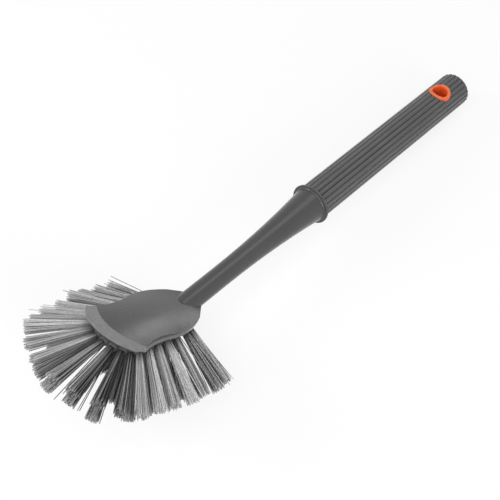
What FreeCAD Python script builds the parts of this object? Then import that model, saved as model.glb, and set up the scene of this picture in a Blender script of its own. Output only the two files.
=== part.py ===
# Dish brush with a ribbed grip, a tapering neck, a domed head with a scraping
# lip and a fan of bristle tufts, built as separate pieces at real size in mm.
#
# The brush lies as it would be put down on a table: on its rear bristle tips
# and on the end of its grip. +X runs along the handle to its hanging end, +Z is
# up, and the origin is under the middle of the whole brush.
#
# The head is drawn in a frame of its own: the head's edge plane is XY, the
# front is at -X, and the handle's axis rises through the origin towards +X.
# Reaches are distances ahead of that origin, depths are distances below it.

import FreeCAD
import Part
import Sketcher

import math
import os

Vector = FreeCAD.Vector
Rotation = FreeCAD.Rotation
Placement = FreeCAD.Placement

SIZES = (
    ("trim_margin", 2.0, "room that a trimming cut has beyond its piece"),
    ("grip_diameter", 18.8, "grip over the tops of its ribs"),
    ("grip_length", 131.0, "grip from the rim to its hanging end"),
    ("rib_count", 22, "ribs round the grip"),
    ("rib_radius", 1.35, "rounded top of one rib"),
    ("grip_end_round", 0.6, "rounding of the ribs at the hanging end"),
    ("bore_end_distance", 16.9, "end of the tang's bore to the eyelet's axis"),
    ("tang_diameter", 13.0, "tang inside the grip"),
    ("tang_clearance", 0.1, "play round the tang"),
    ("tang_end_gap", 1.5, "room past the tang's end"),
    ("rim_diameter", 21.8, "rim that the grip is pushed up against"),
    ("rim_thickness", 1.2, "rim along the handle"),
    ("rim_round", 0.45, "rounding of the rim's edges"),
    ("rim_root_round", 0.7, "hollow rounding where the neck meets the rim"),
    ("eyelet_end_distance", 18.6, "eyelet's axis from the hanging end"),
    ("eyelet_diameter", 12.1, "outside of the eyelet"),
    ("eyelet_bore", 8.6, "hanging hole through the eyelet"),
    ("eyelet_clearance", 0.05, "play round the eyelet"),
    ("eyelet_stand", 0.15, "eyelet's lip above the ribs"),
    ("neck_diameter", 10.5, "straight part of the neck"),
    ("neck_end_diameter", 18.4, "flared end of the neck at the rim"),
    ("neck_length", 92.0, "rim to the middle of the head's heel"),
    ("neck_drop", 2.1, "neck's axis below the head's origin"),
    ("neck_flare_length", 70.0, "rim to the straight part"),
    ("neck_inset", 5.0, "neck moulded into the head"),
    ("head_angle", 26.4, "head's edge plane to the handle, degrees"),
    ("crease_reach", 58.2, "front of the dome, where the lip starts"),
    ("horn_reach", 50.7, "side ends of that crease"),
    ("horn_width", 29.0, "dome across the horns"),
    ("waist_reach", 33.3, "where the side turns from waist to shoulder"),
    ("waist_width", 26.6, "dome across that place"),
    ("waist_radius", 44.5, "hollow curve of the waist"),
    ("shoulder_reach", 4.0, "where the shoulder runs out to the heel"),
    ("shoulder_width", 20.0, "dome across that place"),
    ("shoulder_radius", 44.8, "round curve of the shoulder"),
    ("heel_overhang", 5.5, "corners of the heel behind the origin"),
    ("heel_width", 7.8, "head across those corners"),
    ("heel_bulge", 2.6, "roundness of the heel's end"),
    ("dome_heel_half_width", 8.4, "half width of the dome's section behind the heel"),
    ("dome_rear_half_width", 12.0, "half width of the section at the neck's root"),
    ("dome_middle_half_width", 14.6, "half width of the middle section"),
    ("dome_fore_half_width", 15.2, "half width of the section behind the horns"),
    ("dome_front_half_width", 15.4, "half width of the front section"),
    ("dome_heel_overhang", 9.0, "section behind the heel, behind the origin"),
    ("dome_rear_reach", 8.0, "section at the neck's root"),
    ("dome_middle_reach", 24.0, "middle section"),
    ("dome_fore_reach", 44.0, "section behind the horns"),
    ("dome_front_reach", 60.0, "front section"),
    ("dome_heel_rise", 0.05, "top of the section behind the heel"),
    ("dome_rear_rise", 0.21, "top of the section at the neck's root"),
    ("dome_middle_rise", 0.86, "top of the middle section"),
    ("dome_fore_rise", 1.07, "top of the section behind the horns"),
    ("dome_front_rise", 0.36, "top of the front section, just under the lip's face"),
    ("dome_heel_edge", 0.4, "depth of that section's sides behind the heel"),
    ("dome_rear_edge", 0.59, "depth of the sides at the neck's root"),
    ("dome_middle_edge", 0.92, "depth of the middle section's sides"),
    ("dome_fore_edge", 0.83, "depth of the sides behind the horns"),
    ("dome_front_edge", 1.76, "depth of the front section's sides"),
    ("dome_foot", 2.2, "depth of the dome's flat underside"),
    ("plate_margin", 0.8, "plate beyond the dome all round"),
    ("plate_depth", 0.75, "depth of the plate's upper face"),
    ("plate_thickness", 1.7, "plate under the dome"),
    ("plate_slope_angle", 1.2, "plate's fall towards the front, degrees"),
    ("plate_round", 0.5, "rounding of the plate's upper edge"),
    ("lip_depth", 0.78, "depth of the lip's upper face at the horns"),
    ("lip_angle", 9.7, "lip's rise towards the front, degrees"),
    ("lip_length", 16.0, "lip ahead of the horns, along its own face"),
    ("lip_horn_length", 6.6, "lip's corners ahead of the horns"),
    ("lip_flare", 0.6, "lip's corners beyond the plate at the horns, each side"),
    ("lip_overlap", 4.0, "lip carried on behind the horns, inside the plate"),
    ("lip_root_inset", 0.2, "lip's sides inside the plate at the horns"),
    ("lip_thickness", 1.5, "scraping lip"),
    ("lip_corner_round", 1.2, "rounding of the lip's corners"),
    ("lip_upper_round", 0.3, "rounding over the lip's scraping edge"),
    ("lip_lower_round", 0.7, "rounding under the lip's scraping edge"),
    ("block_width", 24.4, "bristle block where it leaves the plate"),
    ("block_top_depth", 1.5, "depth of the block's upper end, inside the plate"),
    ("block_depth", 9.0, "depth of the block's flat underside"),
    ("block_inset", 3.5, "lean of the block's walls"),
    ("block_front_reach", 60.0, "front of the block"),
    ("block_side_front", 50.0, "front end of its straight sides"),
    ("block_side_rear", 14.0, "rear end of its straight sides"),
    ("block_rear_reach", 2.2, "rear of the block"),
    ("socket_diameter", 3.4, "blind hole that takes one tuft"),
    ("socket_depth", 4.2, "depth of that hole"),
    ("collar_diameter", 4.8, "round collar where an outer tuft leaves the wall"),
    ("collar_reach", 0.5, "middle of that collar ahead of the wall"),
    ("anchor_width", 2.6, "metal staple across its hole"),
    ("anchor_thickness", 0.4, "metal staple"),
    ("anchor_height", 1.4, "metal staple along its hole"),
    ("anchor_gap", 0.1, "room under and over the staple"),
    ("tuft_root_diameter", 2.6, "tuft in its hole"),
    ("tuft_tip_diameter", 7.2, "tuft where its filaments end"),
    ("tuft_length", 32.0, "tuft outside its hole"),
    ("tuft_pitch", 6.6, "tufts along the sides"),
    ("outer_root_depth", 6.0, "outer tufts' holes on the wall"),
    ("outer_side_count", 6, "outer tufts on each straight side"),
    ("outer_side_drop_angle", 25.0, "outer side tufts below the head's plane, degrees"),
    ("outer_front_drop_angle", 21.0, "outer front tufts below the head's plane, degrees"),
    ("outer_heel_turn_angle", 38.0, "rear outer tuft round the heel's corner, degrees"),
    ("outer_heel_splay_angle", 97.0, "rear outer tuft from straight ahead, degrees"),
    ("side_splay_angle", 90.0, "rearmost side tuft from straight ahead, degrees"),
    ("side_splay_step_angle", 7.0, "less splay for each tuft ahead, degrees"),
    ("front_turn_step_angle", 22.0, "front tufts round the block, degrees"),
    ("front_splay_step_angle", 14.0, "front tufts from straight ahead, degrees"),
    ("front_pair_count", 3, "pairs of outer tufts beside the front one"),
    ("middle_row_offset", 6.8, "middle tufts from the centre line"),
    ("middle_side_count", 5, "middle tufts on each side"),
    ("middle_drop_angle", 47.0, "middle tufts below the head's plane, degrees"),
    ("middle_front_radius", 7.1, "middle front tufts from their centre"),
    ("middle_front_turn_angle", 34.0, "middle front tufts round the block, degrees"),
    ("middle_front_splay_angle", 20.0, "middle front tufts from straight ahead, degrees"),
    ("inner_row_offset", 2.6, "inner tufts from the centre line"),
    ("inner_side_count", 5, "inner tufts on each side"),
    ("inner_drop_angle", 75.0, "inner tufts below the head's plane, degrees"),
)

document = FreeCAD.newDocument("DishBrush")
sheet = document.addObject("Spreadsheet::Sheet", "Sizes")
for row, (alias, number, meaning) in enumerate(SIZES, start=1):
    sheet.set(f"A{row}", meaning)
    sheet.set(f"B{row}", str(number))
    sheet.setAlias(f"B{row}", alias)
document.recompute()


def size(alias):
    return float(sheet.get(alias))


def worth(sketch, expression):
    return float(sketch.evalExpression(expression))


def new_body(name):
    return document.addObject("PartDesign::Body", name)


def origin_part(body, role):
    for feature in body.Origin.OriginFeatures:
        if feature.Role == role:
            return feature
    raise ValueError(role)


def new_sketch(body, name, role):
    sketch = body.newObject("Sketcher::SketchObject", name)
    sketch.AttachmentSupport = [(origin_part(body, role), "")]
    sketch.MapMode = "FlatFace"
    return sketch


def move_sketch(sketch, **offsets):
    for axis, expression in offsets.items():
        sketch.setExpression(f"AttachmentOffset.Base.{axis}", expression)


def turn_sketch(sketch, axis, expression):
    sketch.AttachmentOffset = Placement(Vector(), Rotation(axis, 1.0))
    sketch.setExpression("AttachmentOffset.Rotation.Angle", f"{expression} * 1 deg")


def pin(sketch, edge, end, axis, expression):
    if expression == "0":
        line = -2 if axis == "X" else -1
        sketch.addConstraint(Sketcher.Constraint("PointOnObject", edge, end, line))
        return
    distance = Sketcher.Constraint("Distance" + axis, -1, 1, edge, end, worth(sketch, expression))
    index = sketch.addConstraint(distance)
    sketch.setExpression(f"Constraints[{index}]", expression)


def arc_edge(start, end, radius):
    # The arc runs anticlockwise from start to end and is at most a half circle.
    chord = end - start
    half = chord.Length / 2
    away = math.sqrt(max(radius * radius - half * half, 0.0))
    left = Vector(-chord.y, chord.x, 0).normalize()
    centre = (start + end) * 0.5 + left * away
    angles = [math.atan2(spot.y - centre.y, spot.x - centre.x) for spot in (start, end)]
    return Part.ArcOfCircle(Part.Circle(centre, Vector(0, 0, 1), radius), *angles)


def draw_outline(sketch, corners):
    # Corners go round anticlockwise. A third entry is the radius of the edge
    # that leaves the corner: bulging outwards, or inwards where it starts with
    # a minus sign. Edges without one are straight.
    spots = [Vector(worth(sketch, x), worth(sketch, y), 0) for x, y, *_ in corners]
    first = sketch.GeometryCount
    ends = []
    for index, (_, _, *bend) in enumerate(corners):
        start = spots[index]
        end = spots[(index + 1) % len(spots)]
        if not bend:
            sketch.addGeometry(Part.LineSegment(start, end), False)
            ends.append((1, 2))
        elif bend[0].startswith("-"):
            sketch.addGeometry(arc_edge(end, start, worth(sketch, bend[0][1:])), False)
            ends.append((2, 1))
        else:
            sketch.addGeometry(arc_edge(start, end, worth(sketch, bend[0])), False)
            ends.append((1, 2))
    for index, (across, along, *bend) in enumerate(corners):
        edge = first + index
        after = (index + 1) % len(corners)
        join = Sketcher.Constraint("Coincident", edge, ends[index][1], first + after, ends[after][0])
        sketch.addConstraint(join)
        pin(sketch, edge, ends[index][0], "X", across)
        pin(sketch, edge, ends[index][0], "Y", along)
        if bend:
            radius = bend[0].lstrip("-")
            limit = Sketcher.Constraint("Radius", edge, worth(sketch, radius))
            sketch.setExpression(f"Constraints[{sketch.addConstraint(limit)}]", radius)


def draw_circle(sketch, radius, across="0", along="0"):
    centre = Vector(worth(sketch, across), worth(sketch, along), 0)
    circle = Part.Circle(centre, Vector(0, 0, 1), worth(sketch, radius))
    edge = sketch.addGeometry(circle, False)
    pin(sketch, edge, 3, "X", across)
    pin(sketch, edge, 3, "Y", along)
    limit = Sketcher.Constraint("Radius", edge, worth(sketch, radius))
    sketch.setExpression(f"Constraints[{sketch.addConstraint(limit)}]", radius)


def add_feature(body, kind, name, sketch, **settings):
    feature = body.newObject("PartDesign::" + kind, name)
    feature.Profile = sketch
    for setting, entry in settings.items():
        if isinstance(entry, str) and "Sizes." in entry:
            feature.setExpression(setting, entry)
        else:
            setattr(feature, setting, entry)
    sketch.Visibility = False
    document.recompute()
    return feature


def add_loft(body, name, sketches):
    return add_feature(body, "AdditiveLoft", name, sketches[0], Sections=sketches[1:])


def round_edges(body, name, feature, radius, chosen):
    edges = [f"Edge{i}" for i, edge in enumerate(feature.Shape.Edges, start=1) if chosen(edge)]
    fillet = body.newObject("PartDesign::Fillet", name)
    fillet.Base = (feature, edges)
    fillet.setExpression("Radius", radius)
    document.recompute()
    return fillet


def arc_radius(half, rise):
    return f"(({half})^2 + ({rise})^2) / (2 * ({rise}))"


# Ribbed grip: a sleeve with rounded ribs along its whole length, rounded over at
# the hanging end, with a blind bore for the tang and a cross hole for the eyelet.
grip = new_body("Grip")
rib_centre = "(Sizes.grip_diameter / 2 - Sizes.rib_radius)"
eyelet_place = "(Sizes.grip_length - Sizes.eyelet_end_distance)"
bore_depth = f"({eyelet_place} - Sizes.bore_end_distance)"
core_sketch = new_sketch(grip, "GripCoreSketch", "YZ_Plane")
draw_circle(core_sketch, rib_centre)
add_feature(grip, "Pad", "GripCore", core_sketch, Length="Sizes.grip_length")
rib_sketch = new_sketch(grip, "GripRibSketch", "YZ_Plane")
draw_circle(rib_sketch, "Sizes.rib_radius", along=rib_centre)
rib = add_feature(grip, "Pad", "GripRib", rib_sketch, Length="Sizes.grip_length")
ribs = grip.newObject("PartDesign::PolarPattern", "GripRibs")
ribs.Originals = [rib]
ribs.Axis = (origin_part(grip, "X_Axis"), [""])
ribs.Angle = 360.0
ribs.setExpression("Occurrences", "Sizes.rib_count")
grip.Tip = ribs
document.recompute()

# The end's rounding starts a little above the ribs, so that no surface meets another flush.
end_sketch = new_sketch(grip, "GripEndSketch", "XZ_Plane")
end_start = "Sizes.grip_length - Sizes.grip_end_round * 1.4"
draw_outline(end_sketch, (
    ("Sizes.grip_length", "Sizes.grip_diameter / 2 - Sizes.grip_end_round"),
    ("Sizes.grip_length + Sizes.trim_margin", "Sizes.grip_diameter / 2 - Sizes.grip_end_round"),
    ("Sizes.grip_length + Sizes.trim_margin", "Sizes.grip_diameter / 2 + Sizes.trim_margin"),
    (end_start, "Sizes.grip_diameter / 2 + Sizes.trim_margin"),
    (end_start, "Sizes.grip_diameter / 2 + Sizes.grip_end_round / 12", "-Sizes.grip_end_round * 1.8"),
))
add_feature(grip, "Groove", "GripEnd", end_sketch,
            ReferenceAxis=(origin_part(grip, "X_Axis"), [""]), Angle=360.0)

bore_sketch = new_sketch(grip, "GripBoreSketch", "YZ_Plane")
draw_circle(bore_sketch, "Sizes.tang_diameter / 2 + Sizes.tang_clearance")
add_feature(grip, "Pocket", "GripBore", bore_sketch, Length=bore_depth, Reversed=True)
cross_sketch = new_sketch(grip, "GripCrossSketch", "XY_Plane")
draw_circle(cross_sketch, "Sizes.eyelet_diameter / 2 + Sizes.eyelet_clearance",
            across=eyelet_place)
add_feature(grip, "Pocket", "GripCross", cross_sketch, Length="Sizes.grip_diameter * 2", Midplane=True)

# Orange eyelet: a tube through the grip whose two lips follow the grip's round.
eyelet = new_body("Eyelet")
tube_sketch = new_sketch(eyelet, "EyeletSketch", "XY_Plane")
draw_circle(tube_sketch, "Sizes.eyelet_diameter / 2", across=eyelet_place)
draw_circle(tube_sketch, "Sizes.eyelet_bore / 2", across=eyelet_place)
add_feature(eyelet, "Pad", "EyeletTube", tube_sketch, Length="Sizes.grip_diameter + 2 * Sizes.trim_margin",
            Midplane=True)
trim_sketch = new_sketch(eyelet, "EyeletTrimSketch", "XZ_Plane")
lip_round = "Sizes.grip_diameter / 2 + Sizes.eyelet_stand"
draw_outline(trim_sketch, (
    (f"{eyelet_place} - Sizes.eyelet_diameter", lip_round),
    (f"{eyelet_place} + Sizes.eyelet_diameter", lip_round),
    (f"{eyelet_place} + Sizes.eyelet_diameter", "Sizes.grip_diameter"),
    (f"{eyelet_place} - Sizes.eyelet_diameter", "Sizes.grip_diameter"),
))
add_feature(eyelet, "Groove", "EyeletLips", trim_sketch,
            ReferenceAxis=(origin_part(eyelet, "X_Axis"), [""]), Angle=360.0)


def head_corners(margin):
    # Plan of the head from the crease of the lip back to the heel.
    crease = arc_radius(f"Sizes.horn_width / 2 + {margin}", "Sizes.crease_reach - Sizes.horn_reach")
    left = [
        ("Sizes.heel_overhang", f"Sizes.heel_width / 2 + {margin}"),
        ("-Sizes.shoulder_reach", f"Sizes.shoulder_width / 2 + {margin}",
         f"Sizes.shoulder_radius + {margin}"),
        ("-Sizes.waist_reach", f"Sizes.waist_width / 2 + {margin}", "-Sizes.waist_radius"),
        ("-Sizes.horn_reach", f"Sizes.horn_width / 2 + {margin}", crease),
    ]
    right = [
        (left[3][0], f"-({left[3][1]})", left[2][2]),
        (left[2][0], f"-({left[2][1]})", left[1][2]),
        (left[1][0], f"-({left[1][1]})"),
        (left[0][0], f"-({left[0][1]})", arc_radius(left[0][1], "Sizes.heel_bulge")),
    ]
    return left + right


# Domed top of the head: lofted through five cross sections and cut to the plan.
dome = new_body("Dome")
sections = []
for place, reach in (("heel", "Sizes.dome_heel_overhang"), ("rear", "-Sizes.dome_rear_reach"),
                     ("middle", "-Sizes.dome_middle_reach"), ("fore", "-Sizes.dome_fore_reach"),
                     ("front", "-Sizes.dome_front_reach")):
    section = new_sketch(dome, f"Dome{place.title()}Sketch", "YZ_Plane")
    move_sketch(section, z=reach)
    half = f"Sizes.dome_{place}_half_width"
    edge = f"Sizes.dome_{place}_edge"
    draw_outline(section, (
        (f"-{half}", "-Sizes.dome_foot"),
        (half, "-Sizes.dome_foot"),
        (half, f"-{edge}", arc_radius(half, f"Sizes.dome_{place}_rise + {edge}")),
        (f"-{half}", f"-{edge}"),
    ))
    sections.append(section)
document.recompute()
add_loft(dome, "DomeBlank", sections)
plan_sketch = new_sketch(dome, "DomePlanSketch", "XY_Plane")
trim_front = "-Sizes.dome_front_reach - Sizes.trim_margin"
trim_rear = "Sizes.dome_heel_overhang + Sizes.trim_margin"
trim_side = "Sizes.dome_front_half_width + Sizes.trim_margin"
draw_outline(plan_sketch, (
    (trim_front, f"-({trim_side})"),
    (trim_rear, f"-({trim_side})"),
    (trim_rear, trim_side),
    (trim_front, trim_side),
))
draw_outline(plan_sketch, head_corners("0"))
add_feature(dome, "Pocket", "DomePlan", plan_sketch, Length="Sizes.dome_front_half_width * 4", Midplane=True)

# Base of the head: a thin plate a little wider than the dome, the upturned
# scraping lip, the bristle block with leaning walls, then the neck with its rim
# and the tang, all in one moulding with the dome.
base = new_body("Base")
plate_sketch = new_sketch(base, "PlateSketch", "XY_Plane")
turn_sketch(plate_sketch, Vector(0, -1, 0), "Sizes.plate_slope_angle")
move_sketch(plate_sketch, z="-Sizes.plate_depth")
draw_outline(plate_sketch, head_corners("Sizes.plate_margin"))
plate = add_feature(base, "Pad", "Plate", plate_sketch, Length="Sizes.plate_thickness", Reversed=True)
slope = math.tan(math.radians(size("plate_slope_angle")))


def on_upper_face(edge):
    gaps = [spot.Point.z + size("plate_depth") - spot.Point.x * slope for spot in edge.Vertexes]
    return max(abs(gap) for gap in gaps) < 0.05


round_edges(base, "PlateEdge", plate, "Sizes.plate_round", on_upper_face)

lip_sketch = new_sketch(base, "LipSketch", "XY_Plane")
turn_sketch(lip_sketch, Vector(0, 1, 0), "Sizes.lip_angle")
move_sketch(lip_sketch, x="-Sizes.horn_reach", z="-Sizes.lip_depth")
horn_half = "(Sizes.horn_width / 2 + Sizes.plate_margin)"
lip_half = f"({horn_half} + Sizes.lip_flare)"
lip_root = f"({horn_half} - Sizes.lip_root_inset)"
lip_arc = arc_radius(lip_half, "Sizes.lip_length - Sizes.lip_horn_length")
draw_outline(lip_sketch, (
    ("Sizes.lip_overlap", f"-({horn_half} - Sizes.lip_overlap / 2)"),
    ("Sizes.lip_overlap", f"{horn_half} - Sizes.lip_overlap / 2"),
    ("0", lip_root),
    ("-Sizes.lip_horn_length", lip_half, lip_arc),
    ("-Sizes.lip_horn_length", f"-{lip_half}"),
    ("0", f"-{lip_root}"),
))
lip = add_feature(base, "Pad", "Lip", lip_sketch, Length="Sizes.lip_thickness", Reversed=True)


def at_lip_corner(edge):
    wide = worth(lip_sketch, lip_half)
    upright = edge.Length < 2 * size("lip_thickness")
    return upright and all(abs(abs(spot.Point.y) - wide) < 0.01 for spot in edge.Vertexes)


lip = round_edges(base, "LipCorners", lip, "Sizes.lip_corner_round", at_lip_corner)
for place, depth in (("upper", 0.0), ("lower", size("lip_thickness"))):
    def on_scraping_edge(edge):
        curve = edge.Curve
        if not isinstance(curve, Part.Circle) or abs(curve.Radius - worth(lip_sketch, lip_arc)) > 0.01:
            return False
        spot = lip_sketch.Placement.inverse().multVec(edge.Vertexes[0].Point)
        return abs(spot.z + depth) < 0.01

    lip = round_edges(base, f"Lip{place.title()}Edge", lip, f"Sizes.lip_{place}_round", on_scraping_edge)

walls = []
for place, depth, inset in (("Upper", "Sizes.block_top_depth", "0"),
                            ("Lower", "Sizes.block_depth", "Sizes.block_inset")):
    wall = new_sketch(base, f"Block{place}Sketch", "XY_Plane")
    move_sketch(wall, z=f"-{depth}")
    half = f"(Sizes.block_width / 2 - {inset})"
    nose = f"(Sizes.block_front_reach - Sizes.block_side_front - {inset})"
    tail = f"(Sizes.block_side_rear - Sizes.block_rear_reach - {inset})"
    draw_outline(wall, (
        ("-Sizes.block_side_rear", f"-{half}", arc_radius(half, tail)),
        ("-Sizes.block_side_rear", half),
        ("-Sizes.block_side_front", half, arc_radius(half, nose)),
        ("-Sizes.block_side_front", f"-{half}"),
    ))
    walls.append(wall)
document.recompute()
add_loft(base, "Block", walls)

neck_sketch = new_sketch(base, "NeckSketch", "XZ_Plane")
turn_sketch(neck_sketch, Vector(0, 0, 1), "Sizes.head_angle")
move_sketch(neck_sketch, x="sin(Sizes.head_angle * 1 deg) * Sizes.neck_drop",
            y="-cos(Sizes.head_angle * 1 deg) * Sizes.neck_drop")
rim_front = "Sizes.neck_length - Sizes.rim_thickness"
tang_end = f"Sizes.neck_length + {bore_depth} - Sizes.tang_end_gap"
flare = arc_radius("Sizes.neck_flare_length - Sizes.rim_thickness",
                   "(Sizes.neck_end_diameter - Sizes.neck_diameter) / 2")
draw_outline(neck_sketch, (
    ("-Sizes.neck_inset", "0"),
    (tang_end, "0"),
    (tang_end, "Sizes.tang_diameter / 2"),
    ("Sizes.neck_length", "Sizes.tang_diameter / 2"),
    ("Sizes.neck_length", "Sizes.rim_diameter / 2"),
    (rim_front, "Sizes.rim_diameter / 2"),
    (rim_front, "Sizes.neck_end_diameter / 2", f"-{flare}"),
    ("Sizes.neck_length - Sizes.neck_flare_length", "Sizes.neck_diameter / 2"),
    ("-Sizes.neck_inset", "Sizes.neck_diameter / 2"),
))
neck = add_feature(base, "Revolution", "Neck", neck_sketch,
                   ReferenceAxis=(neck_sketch, ["H_Axis"]), Angle=360.0)


def on_rim(edge):
    curve = edge.Curve
    return isinstance(curve, Part.Circle) and abs(curve.Radius - size("rim_diameter") / 2) < 0.01


def at_rim_root(edge):
    curve = edge.Curve
    return isinstance(curve, Part.Circle) and abs(curve.Radius - size("neck_end_diameter") / 2) < 0.01


rim = round_edges(base, "RimEdges", neck, "Sizes.rim_round", on_rim)
round_edges(base, "RimRoot", rim, "Sizes.rim_root_round", at_rim_root)

def aim(splay, drop):
    # Way a tuft points: splay to +Y from straight ahead, drop below the head's plane.
    turn = math.radians(splay)
    fall = math.radians(drop)
    return Vector(-math.cos(fall) * math.cos(turn), math.cos(fall) * math.sin(turn), -math.sin(fall))


def tuft_rows():
    # Every tuft as its row, the mouth of its hole in the block and the way it points.
    lean = (size("outer_root_depth") - size("block_top_depth"))
    lean *= size("block_inset") / (size("block_depth") - size("block_top_depth"))
    side = size("block_width") / 2 - lean
    deep = size("outer_root_depth")
    nose = size("block_front_reach") - size("block_side_front")
    nose_radius = ((size("block_width") / 2) ** 2 + nose ** 2) / (2 * nose)
    nose_centre = size("block_front_reach") - nose_radius
    nose_reach = nose_radius - lean
    floor = size("block_depth")
    pitch = size("tuft_pitch")
    first = size("block_side_rear")
    rows = [("outer", Vector(-nose_centre - nose_reach, 0, -deep), aim(0, size("outer_front_drop_angle")))]
    for hand in (1, -1):
        turn = math.radians(size("outer_heel_turn_angle"))
        mouth = Vector(side * math.sin(turn) - first, hand * side * math.cos(turn), -deep)
        splay = hand * size("outer_heel_splay_angle")
        rows.append(("outer", mouth, aim(splay, size("outer_side_drop_angle"))))
        for step in range(int(size("outer_side_count"))):
            splay = hand * (size("side_splay_angle") - step * size("side_splay_step_angle"))
            mouth = Vector(-first - step * pitch, hand * side, -deep)
            rows.append(("outer", mouth, aim(splay, size("outer_side_drop_angle"))))
        for step in range(1, int(size("front_pair_count")) + 1):
            turn = math.radians(step * size("front_turn_step_angle"))
            reach = nose_centre + nose_reach * math.cos(turn)
            mouth = Vector(-reach, hand * nose_reach * math.sin(turn), -deep)
            splay = hand * step * size("front_splay_step_angle")
            rows.append(("outer", mouth, aim(splay, size("outer_front_drop_angle"))))
        for step in range(int(size("middle_side_count"))):
            splay = hand * (size("side_splay_angle") - (step + 0.5) * size("side_splay_step_angle"))
            mouth = Vector(-first - (step + 0.5) * pitch, hand * size("middle_row_offset"), -floor)
            rows.append(("middle", mouth, aim(splay, size("middle_drop_angle"))))
        for step in (0.5, 1.5):
            turn = math.radians(step * size("middle_front_turn_angle"))
            radius = size("middle_front_radius")
            reach = nose_centre + radius * math.cos(turn)
            mouth = Vector(-reach, hand * radius * math.sin(turn), -floor)
            splay = hand * step * size("middle_front_splay_angle")
            rows.append(("middle", mouth, aim(splay, size("middle_drop_angle"))))
        for step in range(int(size("inner_side_count"))):
            splay = hand * (size("side_splay_angle") - step * size("side_splay_step_angle"))
            mouth = Vector(-first - step * pitch, hand * size("inner_row_offset"), -floor)
            rows.append(("inner", mouth, aim(splay, size("inner_drop_angle"))))
    return rows


def handle_turn():
    # The handle's axis is X in the grip's frame; the head's frame sits above the neck's foot.
    foot = Vector(-size("neck_length"), 0, size("neck_drop"))
    return Placement(foot, Rotation(Vector(0, 1, 0), size("head_angle")))


def rest_turn(tips):
    # Turn about Y that puts the lowest bristle tips and the grip's end on one level.
    end = Vector(size("grip_length") - size("grip_end_round"), 0, -size("grip_diameter") / 2)
    reach = size("tuft_tip_diameter") / 2

    def level(angle):
        turn = Rotation(Vector(0, 1, 0), angle)
        low = math.inf
        for tip, way in tips:
            spread = math.sqrt(max(0.0, 1 - turn.multVec(way).z ** 2))
            low = min(low, turn.multVec(tip).z - reach * spread)
        return low, turn.multVec(end).z

    lower = -30.0
    upper = 40.0
    for _ in range(60):
        angle = (lower + upper) / 2
        head_low, grip_low = level(angle)
        if head_low < grip_low:
            lower = angle
        else:
            upper = angle
    return Rotation(Vector(0, 1, 0), angle), level(angle)[1]


rows = tuft_rows()
to_handle = handle_turn()
tips = []
for _, mouth, way in rows:
    tip = to_handle.multVec(mouth + way * size("tuft_length"))
    tips.append((tip, to_handle.Rotation.multVec(way)))
rest, ground = rest_turn(tips)
front = min(rest.multVec(tip).x for tip, _ in tips) - size("tuft_tip_diameter") / 2
rear = rest.multVec(Vector(size("grip_length"), 0, size("grip_diameter") / 2 - size("grip_end_round"))).x
grip_place = Placement(Vector(-(front + rear) / 2, 0, -ground), rest)
head_place = grip_place.multiply(to_handle)

# Sockets, staples and tufts, one of each for every place in the rows, and a round
# collar on the wall for each outer tuft. A tuft is drawn as the plain cone that its
# filaments fill.
collars = []
sockets = []
anchors = []
tufts = []
counts = {}
for row_name, mouth, way in rows:
    counts[row_name] = counts.get(row_name, 0) + 1
    label = f"{row_name}_tuft_{counts[row_name]:02d}"
    along = Rotation(Vector(0, 0, 1), way)
    foot = mouth - way * size("socket_depth")

    if row_name == "outer":
        collar = document.addObject("Part::Sphere", "Collar")
        collar.setExpression("Radius", "Sizes.collar_diameter / 2")
        collar.Placement = Placement(mouth + way * size("collar_reach"), along)
        collars.append(collar)

    socket = document.addObject("Part::Cylinder", "Socket")
    socket.setExpression("Radius", "Sizes.socket_diameter / 2")
    socket.setExpression("Height", "Sizes.socket_depth + Sizes.socket_diameter")
    socket.Placement = Placement(foot, along)
    sockets.append(socket)

    anchor = document.addObject("Part::Box", "Anchor")
    anchor.setExpression("Length", "Sizes.anchor_width")
    anchor.setExpression("Width", "Sizes.anchor_thickness")
    anchor.setExpression("Height", "Sizes.anchor_height")
    corner = Vector(-size("anchor_width") / 2, -size("anchor_thickness") / 2, size("anchor_gap"))
    anchor.Placement = Placement(foot, along).multiply(Placement(corner, Rotation()))
    anchors.append(anchor)

    tuft = document.addObject("Part::Cone", "Tuft")
    tuft.Label = label
    staple_room = size("anchor_height") + 2 * size("anchor_gap")
    tuft.setExpression("Radius1", "Sizes.tuft_root_diameter / 2")
    tuft.setExpression("Radius2", "Sizes.tuft_tip_diameter / 2")
    tuft.setExpression("Height", "Sizes.tuft_length + Sizes.socket_depth"
                                 " - Sizes.anchor_height - 2 * Sizes.anchor_gap")
    tuft.Placement = head_place.multiply(Placement(foot + way * staple_room, along))
    tufts.append(tuft)

blank = document.addObject("Part::MultiFuse", "HeadBlank")
blank.Shapes = [base, dome] + collars
holes = document.addObject("Part::Compound", "Sockets")
holes.Links = sockets
head = document.addObject("Part::Cut", "HeadAndNeck")
head.Base = blank
head.Tool = holes
staples = document.addObject("Part::Compound", "Anchors")
staples.Links = anchors
document.recompute()

head.Label = "head_and_neck"
head.Placement = head_place
staples.Label = "tuft_anchors"
staples.Placement = head_place
grip.Label = "grip"
grip.Placement = grip_place
eyelet.Label = "hanging_eyelet"
eyelet.Placement = grip_place
document.recompute()

for item in document.Objects:
    if "Invalid" in item.State or "Error" in item.State:
        raise RuntimeError(f"{item.Name} did not build: {item.State}")

os.makedirs("parts", exist_ok=True)
for piece in [head, grip, eyelet, staples] + tufts:
    if piece.Shape.isNull() or not piece.Shape.isValid():
        raise RuntimeError(f"{piece.Label} has no valid shape")
    piece.Shape.exportStep(f"parts/{piece.Label}.step")
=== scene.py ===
import math

import bpy
import numpy as np
from mathutils import Matrix, Vector


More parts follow.
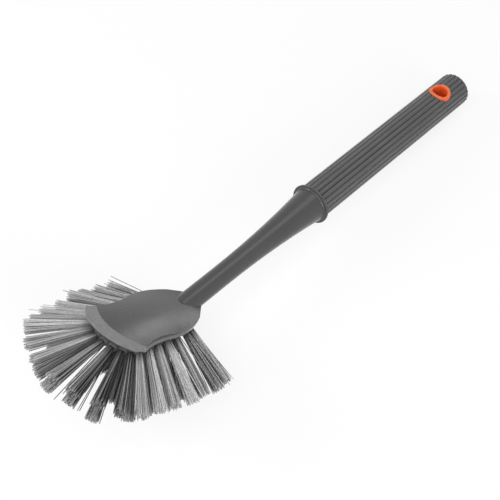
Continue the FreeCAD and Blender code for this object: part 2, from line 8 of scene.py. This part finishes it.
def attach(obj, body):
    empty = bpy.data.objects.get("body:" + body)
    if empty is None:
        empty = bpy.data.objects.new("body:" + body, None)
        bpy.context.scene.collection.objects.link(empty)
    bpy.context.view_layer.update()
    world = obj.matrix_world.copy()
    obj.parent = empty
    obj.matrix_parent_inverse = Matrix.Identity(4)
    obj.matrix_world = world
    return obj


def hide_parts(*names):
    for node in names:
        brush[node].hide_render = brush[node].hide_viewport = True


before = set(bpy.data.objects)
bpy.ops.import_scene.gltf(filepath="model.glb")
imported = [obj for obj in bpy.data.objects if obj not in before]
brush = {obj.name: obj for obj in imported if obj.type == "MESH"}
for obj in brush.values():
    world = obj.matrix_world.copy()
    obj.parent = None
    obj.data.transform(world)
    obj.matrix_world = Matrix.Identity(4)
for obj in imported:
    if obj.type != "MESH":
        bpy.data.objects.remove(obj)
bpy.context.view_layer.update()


# Head and neck. One injection moulding of dark grey polypropylene, from the domed head
# to the tang inside the grip. The mould leaves a satin skin, matt on the bristle block;
# use rubs the outer edges paler. The step of the plate and the scraping lip are painted
# paler, as painted reflection.

head_grey_dark = (0.043, 0.043, 0.044, 1)
head_grey_light = (0.055, 0.055, 0.056, 1)
head_rubbed = (0.16, 0.16, 0.16, 1)
lip_painted_reflection = (0.16, 0.16, 0.16, 1)
plate_painted_reflection = (0.14, 0.14, 0.14, 1)
dust_grey = (0.36, 0.36, 0.35, 1)
flow_size = 0.021
pigment_size = 0.0013
pigment_share = 0.22
grain_size = 0.00032
grain_relief = (0.06, 0.00003)
ripple_size = 0.0042
ripple_relief = (0.05, 0.00008)
lip_reflection_patch = 0.003
lip_reflection_share = (0.65, 0.95)
rubbed_edge = 0.0006
rub_patch = 0.004
rub_share = 0.85
dust_spacing = 0.0048
dust_radius = 0.028
dust_share = 0.025
plastic_gloss = 0.34
plastic_bloom = 0.7
bloom_spread = 0.25
satin_roughness = (0.22, 0.3)
block_roughness = 0.62
head_start = (-0.067482, 0.0, 0.029051)
head_slope = (0.0, 0.5399284, 0.0)
crease_middle = 0.0582
crease_fall = 35.7
crease_blur = 0.0002
plate_fall = 0.02095
plate_top = (-0.00085, -0.00055)
plate_foot = (-0.00275, -0.00245)
plate_rear = (0.0098, 0.0108)
step_reflection_share = 0.75
lip_root = -0.0507
lip_rise = 0.192


def start_material(name):
    material = bpy.data.materials.new(name)
    material.use_nodes = True
    return material, material.node_tree, material.node_tree.nodes["Principled BSDF"]


def add(tree, kind, values=None, **settings):
    node = tree.nodes.new(kind)
    for setting, value in settings.items():
        setattr(node, setting, value)
    for socket, value in (values or {}).items():
        if isinstance(value, bpy.types.NodeSocket):
            tree.links.new(value, node.inputs[socket])
        else:
            node.inputs[socket].default_value = value
    return node


def noise(tree, place, feature, detail=2.0, roughness=0.5):
    values = {"Vector": place, "Scale": 1 / feature, "Detail": detail, "Roughness": roughness}
    return add(tree, "ShaderNodeTexNoise", values).outputs["Fac"]


def blend(tree, factor, one, other):
    values = {"Factor": factor, "A": one, "B": other}
    return add(tree, "ShaderNodeMix", values, data_type="RGBA").outputs["Result"]


def ranged(tree, value, low, high, start, end):
    values = {"Value": value, "From Min": low, "From Max": high, "To Min": start, "To Max": end}
    return add(tree, "ShaderNodeMapRange", values).outputs["Result"]


def reckon(tree, operation, *values):
    return add(tree, "ShaderNodeMath", dict(enumerate(values)), operation=operation).outputs[0]


def measure_of(tree, operation, *vectors):
    values = dict(enumerate(vectors))
    return add(tree, "ShaderNodeVectorMath", values, operation=operation).outputs["Value"]


def relief(tree, *layers):
    # Layers of height, strength and depth, one on the other.
    normal = None
    for height, strength, depth in layers:
        values = {"Height": height, "Strength": strength, "Distance": depth}
        if normal:
            values["Normal"] = normal
        normal = add(tree, "ShaderNodeBump", values).outputs["Normal"]
    return normal


def set_skin(tree, skin, colour, roughness, normal):
    for socket, value in (("Base Color", colour), ("Roughness", roughness), ("Normal", normal)):
        tree.links.new(value, skin.inputs[socket])


def set_plastic(skin):
    # The gloss of the grey plastics, and the pale bloom on them at a glancing angle.
    for socket, value in (("Specular IOR Level", plastic_gloss), ("Sheen Weight", plastic_bloom),
                          ("Sheen Roughness", bloom_spread)):
        skin.inputs[socket].default_value = value


def edge_rub(tree, place, reach, patch):
    # Share of rubbing on outer edges: where a rounded normal leaves the face's own.
    rounded = add(tree, "ShaderNodeBevel", {"Radius": reach}, samples=4).outputs["Normal"]
    face = add(tree, "ShaderNodeNewGeometry").outputs["Normal"]
    edge = ranged(tree, measure_of(tree, "DOT_PRODUCT", rounded, face), 0.95, 0.8, 0.0, 1.0)
    patches = ranged(tree, noise(tree, place, patch, 3.0), 0.4, 0.65, 0.5, 1.0)
    return reckon(tree, "MULTIPLY", edge, patches)


def dust(tree, place, spacing, radius, share):
    # A pale fleck in some of the cells that the surface falls into.
    values = {"Vector": place, "Scale": 1 / spacing, "Randomness": 1.0}
    cells = add(tree, "ShaderNodeTexVoronoi", values, feature="F1").outputs
    chosen = add(tree, "ShaderNodeSeparateColor", {"Color": cells["Color"]}).outputs["Red"]
    near = ranged(tree, cells["Distance"], radius * 0.6, radius, 1.0, 0.0)
    return reckon(tree, "MULTIPLY", near, reckon(tree, "LESS_THAN", chosen, share))


def place_from(tree, start, slope):
    # Place seen from a start, in axes that are turned with the piece.
    place = add(tree, "ShaderNodeTexCoord").outputs["Object"]
    values = {"Vector": place, "Location": start, "Rotation": slope}
    return add(tree, "ShaderNodeMapping", values, vector_type="TEXTURE").outputs["Vector"]


def dress(node, material):
    node.data.materials.clear()
    node.data.materials.append(material)


satin_plastic, tree, skin = start_material("satin_plastic")
place = add(tree, "ShaderNodeTexCoord").outputs["Object"]
flow = noise(tree, place, flow_size, 4.0)
pigment = noise(tree, place, pigment_size, 3.0)
tone = blend(tree, flow, head_grey_dark, head_grey_light)
tone = blend(tree, ranged(tree, pigment, 0.3, 0.7, 0.0, pigment_share), tone, head_grey_light)

# Height over the plate, and further forward over the rising lip, parts them from the block.
head = add(tree, "ShaderNodeSeparateXYZ", {0: place_from(tree, head_start, head_slope)}).outputs
on_lip = reckon(tree, "MAXIMUM", reckon(tree, "SUBTRACT", lip_root, head["X"]), 0.0)
level = reckon(tree, "MULTIPLY_ADD", head["X"], -plate_fall, head["Z"])
level = reckon(tree, "MULTIPLY_ADD", on_lip, -lip_rise, level)
upper = ranged(tree, level, *plate_foot, 0.0, 1.0)

# The lip starts at the dome's crease, which falls back towards its two ends. In front of
# it the lip is painted paler in patches, as painted reflection.
across = reckon(tree, "MULTIPLY", head["Y"], head["Y"])
crease = reckon(tree, "MULTIPLY_ADD", across, crease_fall, -crease_middle)
beyond = ranged(tree, reckon(tree, "SUBTRACT", crease, head["X"]), 0.0, crease_blur, 0.0, 1.0)
lip_reflection_patches = ranged(tree, noise(tree, place, lip_reflection_patch, 3.0), 0.3, 0.7, *lip_reflection_share)
lip_reflection = reckon(tree, "MULTIPLY", reckon(tree, "MULTIPLY", beyond, upper), lip_reflection_patches)
tone = blend(tree, lip_reflection, tone, lip_painted_reflection)

# The step of the plate round the dome, painted paler as painted reflection, and the
# outer edges, rubbed paler.
step = ranged(tree, level, *plate_top, step_reflection_share, 0.0)
ahead = ranged(tree, head["X"], *plate_rear, 1.0, 0.0)
step = reckon(tree, "MULTIPLY", step, reckon(tree, "MULTIPLY", upper, ahead))
tone = blend(tree, step, tone, plate_painted_reflection)
rub = edge_rub(tree, place, rubbed_edge, rub_patch)
rub = reckon(tree, "MULTIPLY", rub, reckon(tree, "MULTIPLY", upper, rub_share))
tone = blend(tree, rub, tone, head_rubbed)
tone = blend(tree, dust(tree, place, dust_spacing, dust_radius, dust_share), tone, dust_grey)

mottle = reckon(tree, "ADD", flow, reckon(tree, "MULTIPLY", pigment, 0.5))
satin = ranged(tree, mottle, 0.45, 1.05, *satin_roughness)
roughness = reckon(tree, "MAXIMUM", satin, ranged(tree, upper, 0.0, 1.0, block_roughness, 0.0))
normal = relief(tree, (noise(tree, place, ripple_size), *ripple_relief),
                (noise(tree, place, grain_size), *grain_relief))
set_plastic(skin)
set_skin(tree, skin, tone, roughness, normal)
dress(brush["head_and_neck"], satin_plastic)


# Grip. A ribbed sleeve of softer, matt dark grey plastic, pushed over the tang up
# against the neck's rim. Hands polish the tops of its ribs; the grooves are painted
# darker, as painted shade.

grip_start = (0.024064, 0.0, 0.019682)
grip_slope = (0.0, 0.0791615, 0.0)
groove_radius = 0.00876
rib_top_radius = 0.0094
groove_shade_and_streak_grey = (0.036, 0.036, 0.037, 1)
rib_grey = (0.07, 0.07, 0.071, 1)
rib_worn = (0.1, 0.1, 0.1, 1)
wear_size = 0.017
wear_share = 0.8
streak_size = 0.0007
streak_draw = (0.04, 1, 1)
streak_share = 0.25
streak_relief = (0.12, 0.00003)
streak_roughness = (-0.03, 0.05)
sleeve_grain = 0.00028
sleeve_relief = (0.2, 0.00003)
sleeve_dust_spacing = 0.006
sleeve_dust_radius = 0.022
sleeve_dust_share = 0.2
groove_roughness = 0.46
rib_roughness = 0.32


def vector_of(tree, operation, *vectors):
    values = dict(enumerate(vectors))
    return add(tree, "ShaderNodeVectorMath", values, operation=operation).outputs["Vector"]


def handle_place(tree):
    # Place on the handle: x along it from the rim, y and z across it.
    return place_from(tree, grip_start, grip_slope)


def handle_radius(tree, place):
    return measure_of(tree, "LENGTH", vector_of(tree, "MULTIPLY", place, (0, 1, 1)))


matt_plastic, tree, skin = start_material("matt_plastic")
place = handle_place(tree)
height = ranged(tree, handle_radius(tree, place), groove_radius, rib_top_radius, 0.0, 1.0)
streak = noise(tree, vector_of(tree, "MULTIPLY", place, streak_draw), streak_size, 3.0, 0.6)
wear = ranged(tree, noise(tree, place, wear_size, 4.0), 0.35, 0.7, 0.0, wear_share)
wear = reckon(tree, "MULTIPLY", ranged(tree, height, 0.75, 1.0, 0.0, 1.0), wear)
# The grooves are painted darker than the ribs, as painted shade in the recesses.
tone = blend(tree, ranged(tree, height, 0.0, 0.55, 0.0, 1.0), groove_shade_and_streak_grey, rib_grey)
tone = blend(tree, wear, tone, rib_worn)
tone = blend(tree, ranged(tree, streak, 0.35, 0.65, 0.0, streak_share), tone, groove_shade_and_streak_grey)
flecks = dust(tree, place, sleeve_dust_spacing, sleeve_dust_radius, sleeve_dust_share)
tone = blend(tree, flecks, tone, dust_grey)
roughness = reckon(tree, "ADD", ranged(tree, height, 0.2, 1.0, groove_roughness, rib_roughness),
                   ranged(tree, streak, 0.3, 0.7, *streak_roughness))
normal = relief(tree, (streak, *streak_relief), (noise(tree, place, sleeve_grain), *sleeve_relief))
set_plastic(skin)
set_skin(tree, skin, tone, roughness, normal)
dress(brush["grip"], matt_plastic)


# Hanging eyelet. A short tube of orange polypropylene, snapped through the grip,
# whose two lips follow the grip's round. Hooks rub the lips a little paler, and their
# outer faces are also painted paler, as painted light.

orange_deep = (0.56, 0.058, 0.006, 1)
orange_clear = (0.68, 0.088, 0.012, 1)
orange_rubbed_and_lit = (0.79, 0.185, 0.055, 1)
eyelet_lip = (0.0082, 0.0096)
eyelet_flow = 0.006
eyelet_pigment = 0.0006
eyelet_pigment_share = 0.3
eyelet_rub_patch = 0.0025
eyelet_rub_share = (0.25, 0.75)
eyelet_ripple = 0.0018
eyelet_ripple_relief = (0.06, 0.00006)
eyelet_grain = 0.00025
eyelet_grain_relief = (0.12, 0.00002)
eyelet_roughness = (0.34, 0.46)

orange_plastic, tree, skin = start_material("orange_plastic")
place = handle_place(tree)
flow = noise(tree, place, eyelet_flow, 4.0)
pigment = noise(tree, place, eyelet_pigment, 3.0)
tone = blend(tree, flow, orange_deep, orange_clear)
tone = blend(tree, ranged(tree, pigment, 0.35, 0.7, 0.0, eyelet_pigment_share), tone, orange_deep)
# The outer faces of the lips are painted paler: partly rubbing, partly painted light.
outside = ranged(tree, handle_radius(tree, place), *eyelet_lip, 0.0, 1.0)
rub = ranged(tree, noise(tree, place, eyelet_rub_patch, 3.0), 0.35, 0.65, *eyelet_rub_share)
tone = blend(tree, reckon(tree, "MULTIPLY", outside, rub), tone, orange_rubbed_and_lit)
roughness = ranged(tree, reckon(tree, "ADD", flow, pigment), 0.7, 1.3, *eyelet_roughness)
normal = relief(tree, (noise(tree, place, eyelet_ripple), *eyelet_ripple_relief),
                (noise(tree, place, eyelet_grain), *eyelet_grain_relief))
set_skin(tree, skin, tone, roughness, normal)
dress(brush["hanging_eyelet"], orange_plastic)


# Staples. A short flat of drawn steel wire at the bottom of every hole pins the
# fold of the tuft. Drawing leaves fine lines, the cut edges are brighter.

wire_dark = (0.42, 0.42, 0.43, 1)
wire_bright = (0.66, 0.66, 0.66, 1)
wire_cut = (0.78, 0.78, 0.78, 1)
wire_draw = (0.1, 1, 1)
wire_line = 0.00012
wire_relief = (0.25, 0.00001)
wire_edge = 0.0001
wire_patch = 0.0005
wire_roughness = (0.26, 0.44)

staple_steel, tree, skin = start_material("staple_steel")
skin.inputs["Metallic"].default_value = 1.0
place = add(tree, "ShaderNodeTexCoord").outputs["Object"]
lines = noise(tree, vector_of(tree, "MULTIPLY", place, wire_draw), wire_line, 3.0, 0.65)
tone = blend(tree, lines, wire_dark, wire_bright)
tone = blend(tree, edge_rub(tree, place, wire_edge, wire_patch), tone, wire_cut)
roughness = ranged(tree, lines, 0.3, 0.7, *wire_roughness)
set_skin(tree, skin, tone, roughness, relief(tree, (lines, *wire_relief)))
dress(brush["tuft_anchors"], staple_steel)


# Bristle tufts. Each is a bundle of straight grey nylon filaments, folded double and
# stapled into its hole. It fans out in a few locks to its trimmed end, and the odd
# filament strays. The outer row and the upper side of every tuft are painted paler, as
# painted light; the inner rows and the roots are painted darker, as painted shade.

filament_count = 84
filament_radius = 0.00019
filament_spread = 0.15
filament_bow = 0.0006
root_fill = 0.85
tip_fill = 0.86
straightness = 0.92
wander = 0.1
lock_count = 6
lock_pull = 0.16
trim_loss = 0.05
stray_share = 0.025
stray_reach = 1.3
tuft_lean = 0.0011
tuft_seed = 1091999
seed_step = 20
end_depth = 0.0001
outer_lit_brightness = (-0.1, 1.06)
inner_shaded_brightness = (0.04, 0.24)
outer_contrast = 0.46
inner_contrast = 0.2
lock_tone = 0.3
painted_light_side = (0.35, 0.35, 0.87)
painted_light_share = 0.45
bristle_dark = (0.022, 0.022, 0.023, 1)
bristle_light = (0.6, 0.6, 0.605, 1)
bristle_tip = (0.5, 0.5, 0.5, 1)
bristle_speck = 0.0009
bristle_speck_share = 0.35
bristle_grain = 0.00025
bristle_relief = (0.15, 0.00001)
bristle_roughness = (0.24, 0.36)
root_shade = (0.12, 0.31)
root_shade_share = 0.97
pale_tip = (0.93, 1.0)
pale_tip_share = 0.35

nylon, tree, skin = start_material("nylon_filament")
place = add(tree, "ShaderNodeTexCoord").outputs["Object"]
shade = add(tree, "ShaderNodeAttribute", attribute_name="shade").outputs["Fac"]
along = add(tree, "ShaderNodeAttribute", attribute_name="along").outputs["Fac"]
speck = noise(tree, place, bristle_speck, 3.0)
tone = blend(tree, shade, bristle_dark, bristle_light)
tone = blend(tree, ranged(tree, speck, 0.4, 0.75, 0.0, bristle_speck_share), tone, bristle_dark)
# The roots are painted dark, as painted shade under the plate and in the block.
tone = blend(tree, ranged(tree, along, *root_shade, root_shade_share, 0.0), tone, bristle_dark)
tone = blend(tree, ranged(tree, along, *pale_tip, 0.0, pale_tip_share), tone, bristle_tip)
roughness = ranged(tree, speck, 0.3, 0.7, *bristle_roughness)
normal = relief(tree, (noise(tree, place, bristle_grain), *bristle_relief))
set_skin(tree, skin, tone, roughness, normal)


def bristle_tree():
    tree = bpy.data.node_groups.new("bristle_tuft", "GeometryNodeTree")
    tree.is_modifier = True
    inputs = {}
    for name, kind in (("Root", "Vector"), ("Way", "Vector"), ("Lean", "Vector"),
                       ("Length", "Float"), ("Root Radius", "Float"), ("Tip Radius", "Float"),
                       ("Filament Radius", "Float"), ("Filaments", "Int"), ("Locks", "Int"),
                       ("Trim Loss", "Float"), ("Stray Share", "Float"), ("Dark", "Float"),
                       ("Light", "Float"), ("Seed", "Int"), ("Material", "Material")):
        socket = tree.interface.new_socket(name, in_out="INPUT", socket_type=f"NodeSocket{kind}")
        inputs[name] = socket.identifier
    tree.interface.new_socket("Geometry", in_out="OUTPUT", socket_type="NodeSocketGeometry")
    given = add(tree, "NodeGroupInput").outputs

    def number(operation, *values):
        return reckon(tree, operation, *values)

    def random(low, high, salt, owner=None):
        # A float from low to high; the filaments of one owner share theirs.
        values = {2: low, 3: high, "Seed": number("ADD", given["Seed"], salt)}
        if owner is not None:
            values["ID"] = owner
        return add(tree, "FunctionNodeRandomValue", values, data_type="FLOAT").outputs[1]

    def vector(x, y, z):
        return add(tree, "ShaderNodeCombineXYZ", {"X": x, "Y": y, "Z": z}).outputs[0]

    def scaled(value, by):
        values = {0: value, "Scale": by}
        return add(tree, "ShaderNodeVectorMath", values, operation="SCALE").outputs[0]

    def summed(one, other):
        return vector_of(tree, "ADD", one, other)

    def aimed(way):
        return add(tree, "FunctionNodeAlignRotationToVector", {"Vector": way}, axis="Z").outputs[0]

    def spoke(turn, share):
        ring = number("SQRT", share)
        return scaled(vector(number("COSINE", turn), number("SINE", turn), 0.0), ring)

    def store(geometry, name, value, domain, kind="FLOAT"):
        values = {"Geometry": geometry, "Name": name, "Value": value}
        node = add(tree, "GeometryNodeStoreNamedAttribute", values, data_type=kind, domain=domain)
        return node.outputs[0]

    def stored(name, kind="FLOAT"):
        values = {"Name": name}
        return add(tree, "GeometryNodeInputNamedAttribute", values, data_type=kind).outputs[0]

    def shifted(geometry, offset):
        values = {"Geometry": geometry, "Offset": offset}
        return add(tree, "GeometryNodeSetPosition", values).outputs[0]

    # Where each filament leaves its hole, the lock it belongs to, and where it ends.
    index = add(tree, "GeometryNodeInputIndex").outputs[0]
    lock = number("MODULO", index, given["Locks"])
    start = spoke(random(0.0, math.tau, 1), random(0.0, 1.0, 2))
    middle = scaled(spoke(random(0.0, math.tau, 11, lock), random(0.1, 1.0, 12, lock)), lock_pull)
    lost = number("MULTIPLY", random(0.0, 1.0, 3), given["Trim Loss"])
    reach = number("MULTIPLY", given["Length"], number("SUBTRACT", 1.0, lost))
    stray = number("LESS_THAN", random(0.0, 1.0, 4), given["Stray Share"])
    spread = number("ADD", tip_fill, number("MULTIPLY", stray, stray_reach))
    fan = number("MULTIPLY", given["Tip Radius"], spread)
    jitter = vector(random(-wander, wander, 5), random(-wander, wander, 6), 0.0)
    end = summed(summed(scaled(start, straightness), middle), jitter)
    root = scaled(start, number("MULTIPLY", given["Root Radius"], root_fill))
    tip = summed(scaled(end, fan), vector(0.0, 0.0, reach))
    way = vector_of(tree, "SUBTRACT", tip, root)

    # One filament, a thin rod with a few joints so that it can bow, set on every start.
    values = {"Vertices": 5, "Side Segments": 4, "Fill Segments": 1, "Radius": 1.0, "Depth": 1.0}
    rod = add(tree, "GeometryNodeMeshCylinder", values).outputs["Mesh"]
    values = {"Geometry": rod, "Translation": (0, 0, 0.5)}
    rod = add(tree, "GeometryNodeTransform", values).outputs[0]
    spot = add(tree, "GeometryNodeInputPosition").outputs[0]
    rod = store(rod, "along", add(tree, "ShaderNodeSeparateXYZ", {0: spot}).outputs["Z"], "POINT")
    values = {"Count": given["Filaments"], "Position": root}
    starts = add(tree, "GeometryNodePoints", values).outputs[0]
    uneven = random(1 - filament_spread, 1 + filament_spread, 10)
    thick = number("MULTIPLY", given["Filament Radius"], uneven)
    size = vector(thick, thick, measure_of(tree, "LENGTH", way))
    values = {"Points": starts, "Instance": rod, "Rotation": aimed(way), "Scale": size}
    tuft = add(tree, "GeometryNodeInstanceOnPoints", values).outputs[0]

    # The tone of each filament: its own, its lock's, and paler on the tuft's upper side, as
    # painted light.
    turn = aimed(given["Way"])
    side = add(tree, "FunctionNodeRotateVector", {"Vector": start, "Rotation": turn}).outputs[0]
    painted_light = measure_of(tree, "DOT_PRODUCT", side, painted_light_side)
    own_shade = random(given["Dark"], given["Light"], 7)
    own_shade = number("MULTIPLY_ADD", painted_light, painted_light_share, own_shade)
    lock_shade = random(given["Dark"], given["Light"], 13, lock)
    shade = number("ADD", number("MULTIPLY", own_shade, 1 - lock_tone),
                   number("MULTIPLY", lock_shade, lock_tone))
    tuft = store(tuft, "shade", shade, "INSTANCE")
    sway = vector(random(-filament_bow, filament_bow, 8),
                  random(-filament_bow, filament_bow, 9), 0.0)
    tuft = store(tuft, "sway", sway, "INSTANCE", "FLOAT_VECTOR")
    tuft = add(tree, "GeometryNodeRealizeInstances", {"Geometry": tuft}).outputs[0]

    # Every filament bows a little towards its free end, and the whole tuft leans as one.
    along = stored("along")
    tuft = shifted(tuft, scaled(stored("sway", "FLOAT_VECTOR"), number("MULTIPLY", along, along)))
    values = {"Geometry": tuft, "Translation": given["Root"], "Rotation": turn}
    tuft = add(tree, "GeometryNodeTransform", values).outputs[0]
    tuft = shifted(tuft, scaled(given["Lean"], along))
    values = {"Geometry": tuft, "Material": given["Material"]}
    tuft = add(tree, "GeometryNodeSetMaterial", values).outputs[0]
    add(tree, "NodeGroupOutput", {"Geometry": tuft})
    return tree, inputs


def tuft_ends(node):
    # Centre and radius of the narrow end and of the wide end of a tuft's solid.
    spots = np.empty(len(node.data.vertices) * 3)
    node.data.vertices.foreach_get("co", spots)
    spots = np.unique(spots.reshape(-1, 3).round(6), axis=0)
    middle = spots.mean(axis=0)
    axis = np.linalg.svd(spots - middle, full_matrices=False)[2][0]
    height = (spots - middle) @ axis
    ends = []
    for limit in (height.min(), height.max()):
        ring = spots[np.abs(height - limit) < end_depth]
        centre = ring.mean(axis=0)
        ends.append((np.linalg.norm(ring - centre, axis=1).max(), Vector(centre)))
    return sorted(ends, key=lambda end: end[0])


bristles, bristle_inputs = bristle_tree()
chance = np.random.default_rng(tuft_seed)
tuft_nodes = sorted(name for name in brush if "_tuft_" in name)
for count, name in enumerate(tuft_nodes, start=1):
    (root_radius, root), (tip_radius, tip) = tuft_ends(brush[name])
    piece = bpy.data.objects.new(f"{name}_filaments", bpy.data.meshes.new(f"{name}_filaments"))
    bpy.context.scene.collection.objects.link(piece)
    grower = piece.modifiers.new("bristles", "NODES")
    grower.node_group = bristles
    lean = Vector(chance.uniform(-tuft_lean, tuft_lean, 3))
    # The outer row is painted paler, as painted light, and the inner rows darker, as painted
    # shade; each tuft's tone also differs at random.
    if name.startswith("outer"):
        brightness, contrast = chance.uniform(*outer_lit_brightness), outer_contrast
    else:
        brightness, contrast = chance.uniform(*inner_shaded_brightness), inner_contrast
    for label, value in (("Root", root), ("Way", (tip - root).normalized()), ("Lean", lean),
                         ("Length", (tip - root).length), ("Root Radius", root_radius),
                         ("Tip Radius", tip_radius), ("Filament Radius", filament_radius),
                         ("Filaments", filament_count), ("Locks", lock_count),
                         ("Trim Loss", trim_loss), ("Stray Share", stray_share),
                         ("Dark", brightness - contrast), ("Light", brightness + contrast),
                         ("Seed", count * seed_step), ("Material", nylon)):
        grower[bristle_inputs[label]] = value
    bpy.context.view_layer.update()
    grown = piece.evaluated_get(bpy.context.evaluated_depsgraph_get())
    grown = bpy.data.meshes.new_from_object(grown)
    piece.modifiers.clear()
    piece.data = grown
    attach(piece, "root")
    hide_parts(name)


# Studio. A white table top that keeps a soft shadow near the brush and fades to full
# white further off, light boxes round the brush, a white surround and the camera
# where the picture was taken from.

table_size = 4.0
table_tone = (0.86, 0.86, 0.86, 1)
table_roughness = 0.9
table_glow = 0.8
shadow_reach = 0.25
white_from = 0.8
surround_light = 0.3
white = (1, 1, 1, 1)

table_mesh = bpy.data.meshes.new("table_top")
corners = [(-table_size, -table_size, 0), (table_size, -table_size, 0),
           (table_size, table_size, 0), (-table_size, table_size, 0)]
table_mesh.from_pydata(corners, [], [(0, 1, 2, 3)])
table = bpy.data.objects.new("table_top", table_mesh)
bpy.context.scene.collection.objects.link(table)


def seen_as_white(tree):
    # One for rays from the camera, off a gloss or through something clear, else nought.
    rays = add(tree, "ShaderNodeLightPath").outputs
    seen = reckon(tree, "ADD", rays["Is Camera Ray"], rays["Is Glossy Ray"])
    return add(tree, "ShaderNodeMath", {0: seen, 1: rays["Is Transmission Ray"]}, operation="ADD",
               use_clamp=True).outputs[0]


table_white, tree, skin = start_material("table_white")
skin.inputs["Roughness"].default_value = table_roughness
skin.inputs["Base Color"].default_value = table_tone
glow = add(tree, "ShaderNodeEmission", {"Color": white, "Strength": 1.0}).outputs[0]
away = measure_of(tree, "LENGTH", add(tree, "ShaderNodeTexCoord").outputs["Object"])
glowing = ranged(tree, away, shadow_reach, white_from, table_glow, 1.0)
share = reckon(tree, "MULTIPLY", seen_as_white(tree), glowing)
mixed = add(tree, "ShaderNodeMixShader", {0: share, 1: skin.outputs[0], 2: glow}).outputs[0]
tree.links.new(mixed, tree.nodes["Material Output"].inputs["Surface"])
table_mesh.materials.append(table_white)

light_target = Vector((-0.035, -0.008, 0.044))
light_distance = 1.3


def toward(bearing, elevation):
    around = math.radians(bearing)
    up = math.radians(elevation)
    return Vector((math.cos(up) * math.cos(around), math.cos(up) * math.sin(around), math.sin(up)))


def light_box(name, bearing, elevation, width, height, power):
    lamp = bpy.data.lights.new(name, "AREA")
    lamp.shape = "RECTANGLE"
    lamp.size = width
    lamp.size_y = height
    lamp.energy = power
    box = bpy.data.objects.new(name, lamp)
    way = toward(bearing, elevation)
    box.location = light_target + way * light_distance
    box.rotation_euler = way.to_track_quat("Z", "Y").to_euler()
    bpy.context.scene.collection.objects.link(box)


light_box("near_box", bearing=-160, elevation=50, width=1.2, height=1.2, power=13)
light_box("right_box", bearing=-100, elevation=22, width=0.6, height=0.6, power=9)
light_box("left_box", bearing=125, elevation=22, width=0.6, height=0.6, power=9)
light_box("far_strip", bearing=13, elevation=9, width=0.22, height=0.4, power=1.05)
light_box("far_high_box", bearing=0, elevation=50, width=0.42, height=0.42, power=1.3)

world = bpy.data.worlds.new("surround")
bpy.context.scene.world = world
world.use_nodes = True
tree = world.node_tree
surround = tree.nodes["Background"]
surround.inputs["Color"].default_value = white
strength = ranged(tree, seen_as_white(tree), 0.0, 1.0, surround_light, 1.0)
tree.links.new(strength, surround.inputs["Strength"])
bpy.context.scene.view_settings.view_transform = "Standard"

view_bearing = -146.03
view_elevation = 52.528
view_roll = 8.862
view_target = Vector((-0.03574, -0.00798, 0.0444))
view_distance = 0.55
camera = bpy.data.cameras.new("photo_view")
camera.sensor_width = 36.0
camera.lens = 86.4
camera.clip_start = 0.01
eye = bpy.data.objects.new("photo_view", camera)
stand = Matrix.Translation(view_target + toward(view_bearing, view_elevation) * view_distance)
turn = Matrix.Rotation(math.radians(view_bearing + 90), 4, "Z")
tilt = Matrix.Rotation(math.radians(90 - view_elevation), 4, "X")
roll = Matrix.Rotation(math.radians(view_roll), 4, "Z")
eye.matrix_world = stand @ turn @ tilt @ roll
bpy.context.scene.collection.objects.link(eye)
bpy.context.scene.camera = eye
